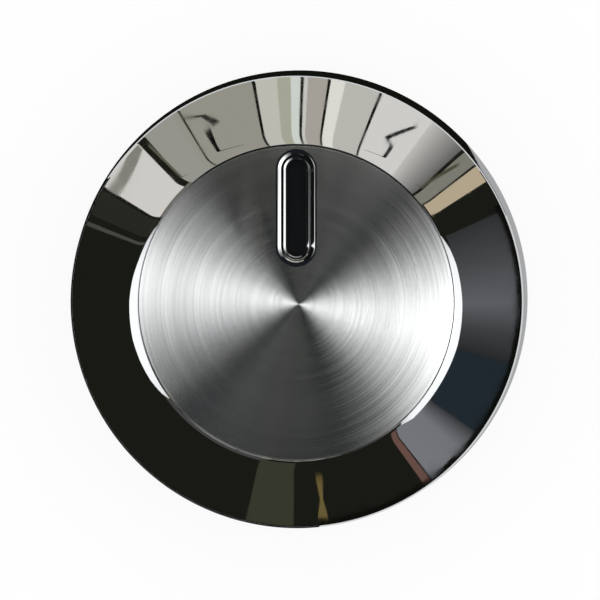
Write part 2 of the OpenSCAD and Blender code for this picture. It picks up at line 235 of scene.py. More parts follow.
# Pale cards behind the knob, with thin dark gaps, and dim ones above them
for name, colour, azimuth, elevation in (
        ("card_far_left", "#FFF9F1", (137, 151), (-1, 57)),
        ("card_far_left_top", "#848178", (130, 151), (57, 68)),
        ("card_shade_left", "#33332B", (152, 158.8), (-1, 60)),
        ("card_left_edge", "#B9B6AC", (125.9, 134.5), (-1, 66)),
        ("card_left", "#B8B4A6", (102.6, 125.9), (-1, 68)),
        ("card_middle_left", "#EAE6D9", (96.4, 102.6), (-1, 68)),
        ("card_middle_grey", "#CDCBB6", (92.8, 96.4), (-1, 68)),
        ("card_middle_white", "#FBFFF5", (89.7, 92.8), (-1, 68)),
        ("card_middle_strip", "#F4F1E8", (88.2, 89.7), (-1, 68)),
        ("card_middle", "#CCC4B9", (82.5, 88.2), (-1, 68)),
        ("card_middle_right", "#E4E0D6", (68.5, 78.3), (-1, 68)),
        ("card_right", "#FFFBF4", (53, 68.5), (-1, 68)),
        ("card_dim", "#9A978B", (37.2, 41.4), (-1, 68)),
        ("card_beige", "#DDCBAB", (31.8, 36.6), (-1, 60))):
    flat_card(name, WALL, colour, azimuth, elevation)
flat_card("card_middle_edge", WALL, "#FFFBF0", (78.3, 82.5), (-1, 68), 1.15)
studio_card("card_fading", WALL, "#FBF7F0", [
    (az, -1, 68, level) for az, level in ((42.4, 0.2), (48, 0.5), (53, 0.85))])
for azimuth, width, colour in ((68.5, 0.8, "#16170F"), (82.5, 0.8, "#16170F"), (89.7, 0.9, "#16170F"),
                               (102.6, 0.9, "#16170F"), (123.6, 0.6, "#2A2A22"),
                               (161.3, 1.0, "#585950")):
    flat_card("gap", STRIP, colour, (azimuth - width / 2, azimuth + width / 2), (-1, 64))

# Grey and coloured cards to the right and in front, and the dark flags that outline the plating, with
# sheets of painted contact shadow on the floor round the rim
studio_card("card_grey_right", WALL, "#7A7B7E", [
    (az, -1, 50, level) for az, level in ((-18, 0.17), (-10, 0.4), (-1.5, 0.9), (11, 0.5), (23, 0.24))])
studio_card("card_grey_front", WALL, "#919296", [
    (az, -1, 58, level) for az, level in ((-54.5, 1.0), (-44, 0.95), (-38, 0.2))])
flat_card("card_dusk", WALL + 20 * MM, "#2B353C", (-38, -18), (-1, 56))
flat_card("card_rust", STRIP, "#7F5F55", (-56.9, -54.9), (-1, 56))
flat_card("card_olive", WALL, "#474739", (-104, -92), (-1, 58))
flat_card("card_crown_front", WALL, "#545452", (216, 258), (54, 66))
flat_card("low_flag", STRIP - 50 * MM, "#12130F", (148, 395), (-1, 23))
# Painted contact shadow: a black sheet on the floor round the rim at the top and left, which only the
# metal mirrors; the far sheet after it darkens the floor further out
dark_floor_and_shadow_sheet("painted_contact_shadow_near", ((22, 26.8, 42), (46, 24.75, 42), (275, 24.75, 42)))
dark_floor_and_shadow_sheet("floor_flag_far", ((148, 40, 300), (275, 40, 300)))
# Painted contact shadow: a grey sheet on the floor round the rim on the right, which only the metal
# mirrors
dark_floor_and_shadow_sheet("painted_contact_shadow_right", ((-82, 24.75, 29), (21, 24.75, 29), (22, 24.75, 26.8), (46, 24.75, 24.76)),
           "#A9AAAB")

# Bezel shell
# Die-cast zinc, bright nickel-chrome plated: side wall, lip, cone and crown in one casting, with
# the face disc's seat, the pointer's pocket and three screw posts behind. The core screws into it.

shell_low, shell_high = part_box("bezel_shell")
disc_low, disc_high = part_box("face_disc")
tape_low, tape_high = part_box("disc_tape")
trim_low, trim_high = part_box("pointer_trim")
KNOB_R = min(shell_high.x, shell_high.y)
KNOB_H = shell_high.z
DISC_R = disc_high.x
FACE_Z = disc_high.z
SEAT_Z = tape_low.z
WALL_TAPER = 0.65 * MM
WALL_T = 1.8 * MM
FRONT_T = 1.8 * MM
CONE_SLOPE = radians(30)
LIP_R = 0.6 * MM
RIM_EDGE_R = 0.3 * MM
CROWN_R = 4.1 * MM
CROWN_TILT = radians(12)
INNER_FILLET_R = 1.5 * MM
SEAT_GAP = 0.05 * MM
SEAT_EDGE_R = 0.05 * MM
TURN_STEPS = 256
POINTER_W = 4.3 * MM
POINTER_L = trim_high.y - trim_low.y
POINTER_Y = (trim_high.y + trim_low.y) / 2
POINTER_GAP = 0.05 * MM
PAD_WALL = 1.2 * MM
LEDGE_W = 0.6 * MM
LEDGE_L = 6 * MM
LEDGE_T = 0.6 * MM
POST_R = 3 * MM
POST_H = 4.4 * MM
POST_DRAFT = 0.15 * MM
POST_FILLET = 0.4 * MM
SCREW_CIRCLE_R = 14.5 * MM
SCREW_TURN = radians(30)
PILOT_R = 1.55 * MM
PILOT_DEPTH = 4.7 * MM
PILOT_CHAMFER = 0.3 * MM
END_STEPS = 40


def arc(centre, radius, start, end, steps):
    """Points of an arc in the section plane; angles in radians, from the outward radius up."""
    angles = [start + (end - start) * i / steps for i in range(steps + 1)]
    return [(centre[0] + radius * cos(a), centre[1] + radius * sin(a)) for a in angles]


def crossing(n1, d1, n2, d2):
    """Where the lines n1 . p = d1 and n2 . p = d2 cross."""
    k = n1[0] * n2[1] - n1[1] * n2[0]
    return (d1 * n2[1] - d2 * n1[1]) / k, (n1[0] * d2 - n2[0] * d1) / k


def held(section, hold=0.06 * MM):
    """The section with a point close to each end of its long straights, which keeps their shading flat."""
    points = []
    for a, b in zip(section, section[1:]):
        points.append(a)
        length = hypot(b[0] - a[0], b[1] - a[1])
        if length > 6 * hold:
            for share in (hold / length, 1 - hold / length):
                points.append((a[0] + (b[0] - a[0]) * share, a[1] + (b[1] - a[1]) * share))
    return points + [section[-1]]


def new_tree(name, sockets):
    """An empty geometry tree with its named inputs, which gives one geometry, and its input node."""
    tree = bpy.data.node_groups.new(name, "GeometryNodeTree")
    for socket, kind in sockets.items():
        tree.interface.new_socket(socket, in_out="INPUT", socket_type="NodeSocket" + kind)
    tree.interface.new_socket("Result", in_out="OUTPUT", socket_type="NodeSocketGeometry")
    return tree, add_node(tree, "NodeGroupInput").outputs


def end_tree(tree, geometry, finish):
    """Ends a geometry tree in real meshes with their material."""
    whole = add_node(tree, "GeometryNodeRealizeInstances", {"Geometry": geometry})
    dressed = add_node(tree, "GeometryNodeSetMaterial", {"Geometry": whole.outputs[0],
                                                         "Material": finish})
    add_node(tree, "NodeGroupOutput", {"Result": dressed.outputs[0]})
    return tree


def lathe_tree():
    """Node tree that turns a row of points (radius, 0, height) about Z into a closed skin."""
    tree, given = new_tree("lathe", {"Section": "Geometry", "Steps": "Int", "Finish": "Material"})
    size = add_node(tree, "GeometryNodeAttributeDomainSize", {"Geometry": given["Section"]})
    count = size.outputs["Point Count"]
    around = add_node(tree, "ShaderNodeMath", {0: given["Steps"], 1: 1.0}, operation="ADD")
    grid = add_node(tree, "GeometryNodeMeshGrid", {"Vertices X": around.outputs[0],
                                                   "Vertices Y": count})
    index = add_node(tree, "GeometryNodeInputIndex")
    turn = add_node(tree, "ShaderNodeMath", {0: index.outputs[0], 1: count}, operation="DIVIDE")
    turn = add_node(tree, "ShaderNodeMath", {0: turn.outputs[0]}, operation="FLOOR")
    turn = add_node(tree, "ShaderNodeMath", {0: turn.outputs[0], 1: given["Steps"]},
                    operation="DIVIDE")
    turn = add_node(tree, "ShaderNodeMath", {0: turn.outputs[0], 1: 2 * pi}, operation="MULTIPLY")
    point = add_node(tree, "ShaderNodeMath", {0: index.outputs[0], 1: count}, operation="MODULO")
    place = add_node(tree, "GeometryNodeInputPosition")
    sampled = add_node(tree, "GeometryNodeSampleIndex", {"Geometry": given["Section"],
                                                         "Value": place.outputs[0],
                                                         "Index": point.outputs[0]},
                       data_type="FLOAT_VECTOR")
    turned_point = add_node(tree, "ShaderNodeVectorRotate", {"Vector": sampled.outputs[0],
                                                             "Angle": turn.outputs[0]},
                            rotation_type="Z_AXIS")
    moved = add_node(tree, "GeometryNodeSetPosition", {"Geometry": grid.outputs["Mesh"],
                                                       "Position": turned_point.outputs[0]})
    welded = add_node(tree, "GeometryNodeMergeByDistance", {"Geometry": moved.outputs[0],
                                                            "Distance": 1e-7})
    return end_tree(tree, welded.outputs[0], given["Finish"])


def ring_tree():
    """Node tree that sets copies of a piece evenly round Z, the first at an angle and a radius."""
    tree, given = new_tree("ring_of_copies", {"Part": "Geometry", "Count": "Int", "Start": "Float",
                                              "Radius": "Float", "Finish": "Material"})
    spots = add_node(tree, "GeometryNodeMeshLine", {"Count": given["Count"]})
    index = add_node(tree, "GeometryNodeInputIndex")
    turn = add_node(tree, "ShaderNodeMath", {0: index.outputs[0], 1: given["Count"]}, operation="DIVIDE")
    turn = add_node(tree, "ShaderNodeMath", {0: turn.outputs[0], 1: 2 * pi, 2: given["Start"]},
                    operation="MULTIPLY_ADD")
    reach = add_node(tree, "ShaderNodeCombineXYZ", {0: given["Radius"]})
    spot = add_node(tree, "ShaderNodeVectorRotate", {"Vector": reach.outputs[0],
                                                     "Angle": turn.outputs[0]}, rotation_type="Z_AXIS")
    placed = add_node(tree, "GeometryNodeSetPosition", {"Geometry": spots.outputs["Mesh"],
                                                        "Position": spot.outputs[0]})
    facing = add_node(tree, "ShaderNodeCombineXYZ", {2: turn.outputs[0]})
    copies = add_node(tree, "GeometryNodeInstanceOnPoints", {"Points": placed.outputs[0],
                                                             "Instance": given["Part"],
                                                             "Rotation": facing.outputs[0]})
    return end_tree(tree, copies.outputs[0], given["Finish"])


def made_plain(thing):
    """Turns what an object's modifiers make into its own plain mesh, at the origin."""
    bpy.context.view_layer.update()
    mesh = bpy.data.meshes.new_from_object(
        thing.evaluated_get(bpy.context.evaluated_depsgraph_get()))
    thing.modifiers.clear()
    thing.data = mesh
    mesh.name = thing.name
    return thing


def run_tree(thing, tree, **values):
    """Puts a node tree on an object with its named inputs set, and makes the result plain."""
    modifier = thing.modifiers.new(tree.name, "NODES")
    modifier.node_group = tree
    for item in tree.interface.items_tree:
        if item.in_out == "INPUT" and values.get(item.name) is not None:
            modifier[item.identifier] = values[item.name]
    return made_plain(thing)


def outward(thing, sharp=35):
    """Merges doubles, points the faces outwards and shades smooth, with edges past sharp degrees crisp."""
    work = bmesh.new()
    work.from_mesh(thing.data)
    bmesh.ops.remove_doubles(work, verts=work.verts, dist=1e-7)
    bmesh.ops.recalc_face_normals(work, faces=work.faces)
    work.to_mesh(thing.data)
    work.free()
    thing.data.shade_smooth()
    thing.data.set_sharp_from_angle(angle=radians(sharp))
    return thing


LATHE = lathe_tree()
RING = ring_tree()


def turned(name, section, finish=None, steps=TURN_STEPS):
    """A solid of revolution from its axis-to-axis or closed section of (radius, height) points."""
    points = [(r, 0, z) for r, z in held(section)]
    return outward(run_tree(new_object(name, points, []), LATHE, Steps=steps, Finish=finish))


def copied_round(thing, count, start, radius=0.0, finish=None):
    """Copies of a piece evenly round the knob's axis, as one mesh."""
    return outward(run_tree(thing, RING, Count=count, Start=float(start), Radius=float(radius),
                            Finish=finish))


def carved(thing, tool, operation="DIFFERENCE"):
    """Cuts a tool away from a piece, or joins it, and drops the tool; the piece keeps its finish."""
    finish = next((material for material in thing.data.materials if material), None)
    modifier = thing.modifiers.new(tool.name, "BOOLEAN")
    modifier.operation = operation
    modifier.solver = "EXACT"
    modifier.object = tool
    made_plain(thing)
    bpy.data.objects.remove(tool)
    thing.data.materials.clear()
    if finish:
        thing.data.materials.append(finish)
    thing.data.polygons.foreach_set("material_index", [0] * len(thing.data.polygons))
    return outward(thing)


def prism(name, outline, low, high, finish=None):
    """An upright block with a flat outline, from height low to height high."""
    count = len(outline)
    points = [(x, y, z) for z in (low, high) for x, y in outline]
    faces = [(i, (i + 1) % count, count + (i + 1) % count, count + i) for i in range(count)]
    faces += [tuple(range(count))[::-1], tuple(range(count, 2 * count))]
    return outward(new_object(name, points, faces, finish))


def oblong(half_x, half_y, middle_y=0.0):
    """Corners of a rectangle centred on X, round a middle on Y."""
    return [(-half_x, middle_y - half_y), (half_x, middle_y - half_y),
            (half_x, middle_y + half_y), (-half_x, middle_y + half_y)]


def round_pill(section, length, width, z0):
    """Sweeps a section (distance from the centre line, height) round a pill-shaped path on +Y."""
    reach = (length - width) / 2
    hold = 0.15 * MM
    stations = []
    for side in (1, -1):
        middle = POINTER_Y + side * reach
        start = 0 if side > 0 else pi
        stations += [(middle - side * hold, start)]
        stations += [(middle, start + pi * i / END_STEPS) for i in range(END_STEPS + 1)]
        stations += [(middle - side * hold, start + pi)]
    points = [(x * cos(a), y + x * sin(a), z0 + z) for y, a in stations for x, z in section]
    rows = len(section)
    faces = []
    for i in range(len(stations)):
        a, b = i * rows, (i + 1) % len(stations) * rows
        faces += [(a + j, b + j, b + j + 1, a + j + 1) for j in range(rows - 1)]
    return points, faces


def pill(name, length, width, z0, z1, finish=None, edge=0.0):
    """A flat pill-shaped block round the pointer's middle, its top edge rounded by edge."""
    side = arc((width / 2 - edge, z1 - z0 - edge), edge, 0, pi / 2, 4) if edge else [(width / 2, z1 - z0)]
    section = held([(0, 0), (width / 2, 0)] + side + [(0, z1 - z0)], 0.02 * MM)
    return outward(new_object(name, *round_pill(section, length, width, z0), finish))


def chrome_plating():
    """Bright nickel-chrome on polished zinc: a near mirror, very slightly uneven, as buffed metal is."""
    buffing_mm = 5
    haze_mm = 2.2
    material, tree = empty_material("bright_chrome_plating")
    where = add_node(tree, "ShaderNodeTexCoord").outputs["Object"]
    waves = add_node(tree, "ShaderNodeTexNoise", {"Vector": where, "Scale": 1 / (buffing_mm * MM),
                                                  "Detail": 1.0})
    haze = add_node(tree, "ShaderNodeTexNoise", {"Vector": where, "Scale": 1 / (haze_mm * MM),
                                                 "Detail": 5.0})
    gloss = add_node(tree, "ShaderNodeMapRange", {"Value": haze.outputs["Fac"], "From Min": 0.35,
                                                  "From Max": 0.75, "To Min": 0.015, "To Max": 0.05})
    relief = add_node(tree, "ShaderNodeBump", {"Height": waves.outputs["Fac"], "Strength": 0.02,
                                               "Distance": 0.1 * MM})
    metal = add_node(tree, "ShaderNodeBsdfPrincipled", {
        "Base Color": linear("#CDCFD1"), "Metallic": 1.0, "Roughness": gloss.outputs[0],
        "Normal": relief.outputs[0]})
    add_node(tree, "ShaderNodeOutputMaterial", {"Surface": metal.outputs[0]})
    return material


CHROME = chrome_plating()
seat_r = DISC_R + SEAT_GAP
web_z = SEAT_Z - FRONT_T
flange_front = web_z - POST_H
cone_n = (sin(CONE_SLOPE), cos(CONE_SLOPE))
seat_edge_c = (seat_r + SEAT_EDGE_R, KNOB_H - SEAT_EDGE_R)
crown_c = (seat_edge_c[0] - (CROWN_R - SEAT_EDGE_R) * sin(CROWN_TILT),
           seat_edge_c[1] - (CROWN_R - SEAT_EDGE_R) * cos(CROWN_TILT))
cone_d = cone_n[0] * crown_c[0] + cone_n[1] * crown_c[1] + CROWN_R
lip_x = KNOB_R - WALL_TAPER - LIP_R
lip_c = (lip_x, (cone_d - LIP_R - cone_n[0] * lip_x) / cone_n[1])
rim_c = (KNOB_R - RIM_EDGE_R, RIM_EDGE_R)
flank = (lip_c[0] - rim_c[0], lip_c[1] - rim_c[1])
draft = atan2(flank[1], flank[0]) - acos((RIM_EDGE_R - LIP_R) / hypot(*flank))
wall_n = (cos(draft), sin(draft))
wall_d = wall_n[0] * rim_c[0] + wall_n[1] * rim_c[1] + RIM_EDGE_R


def inner_r(z):
    """Radius of the shell's inner wall at height z."""
    return (wall_d - WALL_T - wall_n[1] * z) / wall_n[0]


fillet_c = crossing(wall_n, wall_d - WALL_T - INNER_FILLET_R,
                    cone_n, cone_d - FRONT_T - INNER_FILLET_R)
up_cone = pi / 2 - CONE_SLOPE
shell_section = (
    [(0, SEAT_Z), (seat_r, SEAT_Z)]
    + arc(seat_edge_c, SEAT_EDGE_R, pi, pi / 2 - CROWN_TILT, 6)
    + arc(crown_c, CROWN_R, pi / 2 - CROWN_TILT, up_cone, 24)[1:]
    + arc(lip_c, LIP_R, up_cone, draft, 14)
    + arc(rim_c, RIM_EDGE_R, draft, -pi / 2, 6)
    + arc((inner_r(0) + RIM_EDGE_R, RIM_EDGE_R), RIM_EDGE_R, 1.5 * pi, pi + draft, 6)
    + arc(fillet_c, INNER_FILLET_R, draft, up_cone, 8)
    + [crossing(cone_n, cone_d - FRONT_T, (0, 1), web_z), (0, web_z)])
shell = turned("bezel_shell_plated", shell_section, CHROME)

# Cast behind the front: the pointer's pad and three drafted posts with a small fillet at their roots
pad_z = trim_low.z - POINTER_GAP - PAD_WALL
into_web = web_z + FRONT_T / 2
pad_grow = 2 * (POINTER_GAP + PAD_WALL)
carved(shell, pill("pointer_pad", POINTER_L + pad_grow, POINTER_W + pad_grow, pad_z, into_web), "UNION")
root_r = POST_R + POST_DRAFT
post = turned("screw_post", [(0, flange_front), (POST_R, flange_front)]
              + arc((root_r + POST_FILLET, web_z - POST_FILLET), POST_FILLET, pi, pi / 2, 5)
              + [(root_r + POST_FILLET, into_web), (0, into_web)], steps=48)
carved(shell, copied_round(post, 3, SCREW_TURN, SCREW_CIRCLE_R), "UNION")

# Open in it: the pocket for the pointer and its two ledges, and the pilot holes of the screws
ledge_top = SEAT_Z - POINTER_GAP
carved(shell, pill("pointer_pocket", POINTER_L + 2 * POINTER_GAP, POINTER_W + 2 * POINTER_GAP,
                   trim_low.z - POINTER_GAP, SEAT_Z + 2 * POINTER_GAP))
carved(shell, prism("ledge_pocket", oblong(POINTER_W / 2 + LEDGE_W + POINTER_GAP,
                                           LEDGE_L / 2 + POINTER_GAP, POINTER_Y),
                    ledge_top - LEDGE_T - POINTER_GAP, SEAT_Z + POINTER_GAP))
pilot = turned("pilot_hole", [(0, flange_front - POINTER_GAP),
                              (PILOT_R + PILOT_CHAMFER + POINTER_GAP, flange_front - POINTER_GAP),
                              (PILOT_R, flange_front + PILOT_CHAMFER),
                              (PILOT_R, flange_front + PILOT_DEPTH), (0, flange_front + PILOT_DEPTH)],
               steps=40)
carved(shell, copied_round(pilot, 3, SCREW_TURN, SCREW_CIRCLE_R))
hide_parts("bezel_shell")
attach(shell, "root")

# Strips that stand close to the knob, so that they bend across its cone
NEAR = 150 * MM


def strip_height(azimuth, radius):
    """Height at NEAR of what the shell mirrors to the camera at one azimuth and radius."""
    slope = asin(min(sin(CONE_SLOPE), sin(CROWN_TILT) + (radius - seat_edge_c[0]) / CROWN_R))
    z = min(crown_c[1] + CROWN_R * cos(slope), (cone_d - cone_n[0] * radius) / cone_n[1])
    rise = pi / 2 - 2 * slope - radius / CAMERA_DISTANCE + CAMERA_TILT * cos(azimuth - CAMERA_TURN)
    return z + (NEAR - radius) * tan(rise)


def near_strip(name, path, colour="#12130F"):
    """path holds rows of azimuth in degrees, the shell's radius in mm where it shows, and width."""
    points = []
    for azimuth, radius, width in path:
        height = strip_height(radians(azimuth), radius * MM)
        points += [(NEAR * cos(radians(azimuth + side)), NEAR * sin(radians(azimuth + side)), height)
                   for side in (-width / 2, width / 2)]
    mirrored_strip(name, points, colour)


near_strip("bent_strip_right", (
    (55.7, 22.8, 1.0), (59.1, 21.2, 1.5), (61.5, 20.1, 1.6), (58.8, 19.6, 1.4), (58.8, 18.9, 1.2),
    (66.4, 17.9, 1.0)))
near_strip("bent_strip_left", (
    (123.1, 23.2, 1.0), (118.2, 22.4, 1.3), (115.5, 21.0, 2.4), (118.9, 20.7, 2.2), (118.9, 18.9, 1.2),
    (110.2, 17.8, 1.0)))
near_strip("thin_strip_left", ((135, 23.1, 0.7), (134.4, 19.2, 0.7), (132, 18, 0.7)), "#716C5B")
near_strip("thin_strip_right", ((40, 22.8, 0.9), (42, 19.1, 0.9), (44.7, 18, 0.9)), "#5E5B47")
near_strip("gold_strip", ((-84.2, 23.4, 2.6), (-84.0, 21.2, 0.8), (-83.8, 18.8, 2.2)), "#827144")
# Dark band low down on the right, which the cone mirrors just inside its lip
SHADE_R = 23.6 * MM
SHADE_BASE = 60 * MM
shade_rows = [(radians(az), strip_height(radians(az), SHADE_R)) for az in range(-85, 26, 5)]
mirrored_strip("rim_shade", [(NEAR * cos(a), NEAR * sin(a), z) for a, top in shade_rows
                             for z in (SHADE_BASE, top)])
near_strip("grey_margin", ((144, 24.2, 14), (144, 22.75, 14)), "#A09C92")

# Pointer trim
# Pill-shaped channel of the same plated zinc, dropped into the shell's pocket: two bevels with a steep
# step between them, and two side ledges that the face disc traps.

inlay_low, inlay_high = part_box("pointer_inlay")
TRIM_LAND = 0.06 * MM
TRIM_SLOPE = radians(15)
TRIM_R1 = 1.8 * MM
TRIM_STEP = 0.2 * MM
TRIM_DROP = 0.3 * MM
TRIM_R2 = 1.1 * MM
bevel_1_x = POINTER_W / 2 - TRIM_LAND
bevel_2_x = bevel_1_x - TRIM_R1 * sin(TRIM_SLOPE) - TRIM_STEP
trim_h = trim_high.z - trim_low.z
floor_h = inlay_low.z - trim_low.z
bevel_2_z = trim_h - TRIM_R1 * (1 - cos(TRIM_SLOPE)) - TRIM_DROP
channel_x = bevel_2_x - TRIM_R2 * sin(TRIM_SLOPE)
trim_section = (
    [(0, 0), (POINTER_W / 2, 0), (POINTER_W / 2, trim_h)]
    + arc((bevel_1_x, trim_h - TRIM_R1), TRIM_R1, pi / 2, pi / 2 + TRIM_SLOPE, 10)
    + arc((bevel_2_x, bevel_2_z - TRIM_R2), TRIM_R2, pi / 2, pi / 2 + TRIM_SLOPE, 8)
    + [(channel_x, floor_h), (0, floor_h)])
trim = outward(new_object("pointer_trim_plated",
                          *round_pill(held(trim_section, 0.02 * MM), POINTER_L, POINTER_W, trim_low.z),
                          CHROME))
for side in (-1, 1):
    outer, inner = side * (POINTER_W / 2 + LEDGE_W), side * bevel_1_x
    carved(trim, prism("ledge", [(inner, POINTER_Y - LEDGE_L / 2), (outer, POINTER_Y - LEDGE_L / 2),
                                 (outer, POINTER_Y + LEDGE_L / 2), (inner, POINTER_Y + LEDGE_L / 2)],
                       ledge_top - LEDGE_T, ledge_top, CHROME), "UNION")
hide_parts("pointer_trim")
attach(trim, "root")

# Small black flag on the pointer's left, which dims the flank that faces it up to the rounded end
FLAG_X = -5 * MM
flag_y = (POINTER_Y - 4.2 * MM, POINTER_Y + 3.9 * MM)
flag_z = (26 * MM, 60 * MM)
mirrored_strip("pointer_flag", [(FLAG_X, y, z) for y in flag_y for z in flag_z])

# Pointer inlay
# Strip of high-gloss black acrylic, cut to a pill and cemented to the channel's floor.


def black_gloss():
    """Polished black acrylic: a deep clear black with a hair of polish waviness."""
    polish_mm = 1.5
    material, tree = empty_material("polished_black_acrylic")
    where = add_node(tree, "ShaderNodeTexCoord").outputs["Object"]
    waves = add_node(tree, "ShaderNodeTexNoise", {"Vector": where, "Scale": 1 / (polish_mm * MM),
                                                  "Detail": 2.0})
    relief = add_node(tree, "ShaderNodeBump", {"Height": waves.outputs["Fac"], "Strength": 0.05,
                                               "Distance": 0.05 * MM})
    acrylic = add_node(tree, "ShaderNodeBsdfPrincipled", {
        "Base Color": linear("#101113"), "Roughness": 0.12, "IOR": 1.49, "Normal": relief.outputs[0]})
    add_node(tree, "ShaderNodeOutputMaterial", {"Surface": acrylic.outputs[0]})
    return material


inlay = pill("pointer_inlay_gloss", inlay_high.y - inlay_low.y, inlay_high.x - inlay_low.x,
             inlay_low.z, inlay_high.z, black_gloss(), 0.05 * MM)
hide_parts("pointer_inlay")
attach(inlay, "root")

# Face disc
# Blanked from 0.5 mm aluminium sheet, its edge rolled off a little, and brushed while it spins, so
# that its lines are circles. A bonding film holds it down in the crown.

DISC_EDGE_R = 0.05 * MM
DISC_ROLL_W = 4 * MM
DISC_ROLL = radians(3)


def spun_brushed():
    """Aluminium brushed on a turntable: light fans out across the lines, in two opposite wedges."""
    line_mm = 0.22
    streak_mm = 0.17
    band_mm = 1.3
    # The brush ran a little off the disc's centre
    brush_centre = Vector((0.28, -0.15, 0)) * MM
    sway = 0.04
    material, tree = empty_material("spun_brushed_aluminium")
    where = add_node(tree, "ShaderNodeTexCoord").outputs["Object"]
    centred = add_node(tree, "ShaderNodeVectorMath", {0: where, 1: brush_centre}, operation="SUBTRACT")
    flat = add_node(tree, "ShaderNodeVectorMath", {0: centred.outputs[0], 1: (1, 1, 0)},
                    operation="MULTIPLY")
    radius = add_node(tree, "ShaderNodeVectorMath", {0: flat.outputs[0]}, operation="LENGTH")
    outwards = add_node(tree, "ShaderNodeVectorMath", {0: flat.outputs[0]}, operation="NORMALIZE")
    # Lines are noise along the radius, which drifts slowly round the disc
    drift = add_node(tree, "ShaderNodeVectorMath", {0: outwards.outputs[0], "Scale": 0.22},
                     operation="SCALE")
    parts = add_node(tree, "ShaderNodeSeparateXYZ", {0: drift.outputs[0]})

    def ring_noise(size_mm, detail):
        scaled = add_node(tree, "ShaderNodeMath", {0: radius.outputs["Value"], 1: 1 / (size_mm * MM)},
                          operation="MULTIPLY")
        lines = add_node(tree, "ShaderNodeCombineXYZ", {0: parts.outputs[0], 1: parts.outputs[1],
                                                        2: scaled.outputs[0]})
        return add_node(tree, "ShaderNodeTexNoise", {"Vector": lines.outputs[0], "Scale": 1.0,
                                                     "Detail": detail}).outputs["Fac"]

    fine = ring_noise(line_mm, 2.0)
    tone = add_node(tree, "ShaderNodeMath", {0: fine, 1: ring_noise(band_mm, 2.0)}, operation="ADD")
    share = add_node(tree, "ShaderNodeMapRange", {"Value": tone.outputs[0], "From Min": 0.7,
                                                  "From Max": 1.3})
    # Factor and the two colours of a colour mix
    shade = add_node(tree, "ShaderNodeMix", {0: share.outputs[0], 6: linear("#DADCDC"),
                                             7: linear("#EFF1F1")}, data_type="RGBA")
    # Each line leans a little along its own run, so the fans' edges break up into streaks
    along = add_node(tree, "ShaderNodeVectorMath", {0: (0, 0, 1), 1: outwards.outputs[0]},
                     operation="CROSS_PRODUCT")
    lean = add_node(tree, "ShaderNodeMath", {0: ring_noise(streak_mm, 2.0), 1: sway, 2: -sway / 2},
                    operation="MULTIPLY_ADD")
    tilt = add_node(tree, "ShaderNodeVectorMath", {0: along.outputs[0], "Scale": lean.outputs[0]},
                    operation="SCALE")
    surface = add_node(tree, "ShaderNodeNewGeometry").outputs["Normal"]
    leaning = add_node(tree, "ShaderNodeVectorMath", {0: surface, 1: tilt.outputs[0]}, operation="ADD")
    leaning = add_node(tree, "ShaderNodeVectorMath", {0: leaning.outputs[0]}, operation="NORMALIZE")
    relief = add_node(tree, "ShaderNodeBump", {"Height": fine, "Strength": 0.25,
                                               "Distance": 0.01 * MM, "Normal": leaning.outputs[0]})
    metal = add_node(tree, "ShaderNodeBsdfPrincipled", {
        "Base Color": shade.outputs[2], "Metallic": 1.0, "Roughness": 0.195, "Anisotropic": 1.0,
        "Tangent": outwards.outputs[0], "Normal": relief.outputs[0]})
    add_node(tree, "ShaderNodeOutputMaterial", {"Surface": metal.outputs[0]})
    return material


roll_r = DISC_ROLL_W / sin(DISC_ROLL)
roll_c = (DISC_R - DISC_EDGE_R - DISC_ROLL_W, FACE_Z - roll_r)
disc_edge_z = FACE_Z - roll_r * (1 - cos(DISC_ROLL)) - DISC_EDGE_R
disc_section = ([(0, disc_low.z), (DISC_R, disc_low.z)]
                + arc((DISC_R - DISC_EDGE_R, disc_edge_z), DISC_EDGE_R, 0, pi / 2 - DISC_ROLL, 5)
                + arc(roll_c, roll_r, pi / 2 - DISC_ROLL, pi / 2, 16)[1:]
                + [(0, FACE_Z)])
disc = turned("face_disc_brushed", disc_section, spun_brushed())
carved(disc, pill("pointer_opening", POINTER_L + 2 * POINTER_GAP, POINTER_W + 2 * POINTER_GAP,
                  disc_low.z - MM, FACE_Z + MM))
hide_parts("face_disc")
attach(disc, "root")

# Bonding film
# Die-cut sheet of acrylic film under the face disc, sticky on both sides. It keeps its CAD solid,
# which only its edge would show.


def acrylic_film():
    """Clear acrylic bonding film: a honey-coloured, faintly cloudy sheet."""
    cloud_mm = 3
    material, tree = empty_material("acrylic_bonding_film")
    where = add_node(tree, "ShaderNodeTexCoord").outputs["Object"]
    cloud = add_node(tree, "ShaderNodeTexNoise", {"Vector": where, "Scale": 1 / (cloud_mm * MM),
                                                  "Detail": 3.0})
    shade = add_node(tree, "ShaderNodeMix", {0: cloud.outputs["Fac"], 6: linear("#CDBE97"),
                                             7: linear("#D9CDAA")}, data_type="RGBA")
    film = add_node(tree, "ShaderNodeBsdfPrincipled", {
        "Base Color": shade.outputs[2], "Roughness": 0.42, "IOR": 1.47})
    add_node(tree, "ShaderNodeOutputMaterial", {"Surface": film.outputs[0]})
    return material


film = acrylic_film()
for place in bpy.data.objects["disc_tape"].material_slots:
    place.material = film

# Moulded core
# One moulding of black glass-filled nylon: outer ring, flange, six ribs, six small gussets and the
# split boss with its D-shaped socket. Three screws hold its flange to the shell's posts.

